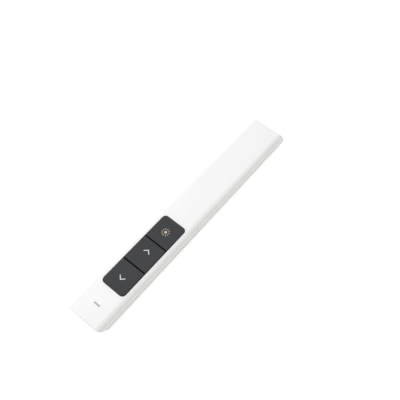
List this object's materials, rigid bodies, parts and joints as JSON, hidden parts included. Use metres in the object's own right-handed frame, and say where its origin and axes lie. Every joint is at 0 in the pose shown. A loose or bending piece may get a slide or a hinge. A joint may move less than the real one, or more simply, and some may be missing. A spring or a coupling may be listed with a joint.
{
  "type": "wireless presentation clicker",
  "caption": "Slim handheld presentation remote with dark page and laser keys, a laser in its slanted nose, a sliding battery cover and a USB receiver stored in its tail.",
  "frame": {"origin": "on the supporting surface, under the middle of the bar", "axes": "+X along the bar towards the laser end, +Z out of the key face, +Y towards the side with the power switch"},
  "size_m": [0.1554, 0.0208, 0.0133],
  "materials": {
    "white_shell": "satin moulded ABS",
    "key_grey": "fine matt moulded ABS",
    "legend_white": "second shot of the key, flush with its face",
    "legend_cream": "second shot of the key, flush with its face",
    "board_green": "solder mask on glass epoxy",
    "switch_black": "moulded",
    "switch_white": "moulded",
    "contact_steel": "nickel plated",
    "contact_gold": "gold plated",
    "led_white": "clear moulded",
    "window_grey": "smoked clear plastic",
    "cell_wrap": "printed film over steel, no marks",
    "barrel_brass": "turned",
    "lens_glass": "clear acrylic"
  },
  "bodies": {
    "case": {"upper_shell": "white_shell", "lower_shell": "white_shell", "circuit_board": "board_green", "tact_switch_back": "switch_black", "tact_switch_forward": "switch_black", "tact_switch_laser": "switch_black", "radio_chip": "switch_black", "crystal": "contact_steel", "status_led": "led_white", "light_guide": "window_grey", "power_switch": "contact_steel", "battery_cell": "cell_wrap", "battery_spring": "contact_steel", "positive_contact": "contact_steel", "laser_barrel": "barrel_brass", "laser_lens": "lens_glass", "laser_diode": "contact_steel", "laser_driver": "board_green", "case_screw": "contact_steel"},
    "battery_cover": {"battery_cover": "white_shell"},
    "power_knob": {"power_knob": "key_grey", "switch_lever": "switch_black"},
    "receiver": {"receiver_cap": "white_shell", "receiver_shell": "contact_steel", "receiver_tongue": "switch_black", "receiver_contacts": "contact_gold"},
    "key_back": {"key_back": "key_grey", "legend_back": "legend_white", "plunger_back": "switch_white"},
    "key_forward": {"key_forward": "key_grey", "legend_forward": "legend_white", "plunger_forward": "switch_white"},
    "key_laser": {"key_laser": "key_grey", "legend_laser": "legend_cream", "plunger_laser": "switch_white"}
  },
  "joints": [
    {"name": "back_key_press", "type": "slide", "parent": "case", "child": "key_back", "axis": [0, 0, -1], "range_m": [0, 0.0005], "stiffness_N_per_m": 800, "springref_m": -0.0005},
    {"name": "forward_key_press", "type": "slide", "parent": "case", "child": "key_forward", "axis": [0, 0, -1], "range_m": [0, 0.0005], "stiffness_N_per_m": 800, "springref_m": -0.0005},
    {"name": "laser_key_press", "type": "slide", "parent": "case", "child": "key_laser", "axis": [0, 0, -1], "range_m": [0, 0.0005], "stiffness_N_per_m": 800, "springref_m": -0.0005},
    {"name": "power_slide", "type": "slide", "parent": "case", "child": "power_knob", "axis": [1, 0, 0], "range_m": [0, 0.0026]},
    {"name": "cover_slide", "type": "slide", "parent": "case", "child": "battery_cover", "axis": [1, 0, 0], "range_m": [0, 0.075]},
    {"name": "receiver_slide", "type": "slide", "parent": "case", "child": "receiver", "axis": [-1, 0, 0], "range_m": [0, 0.0185]}
  ]
}
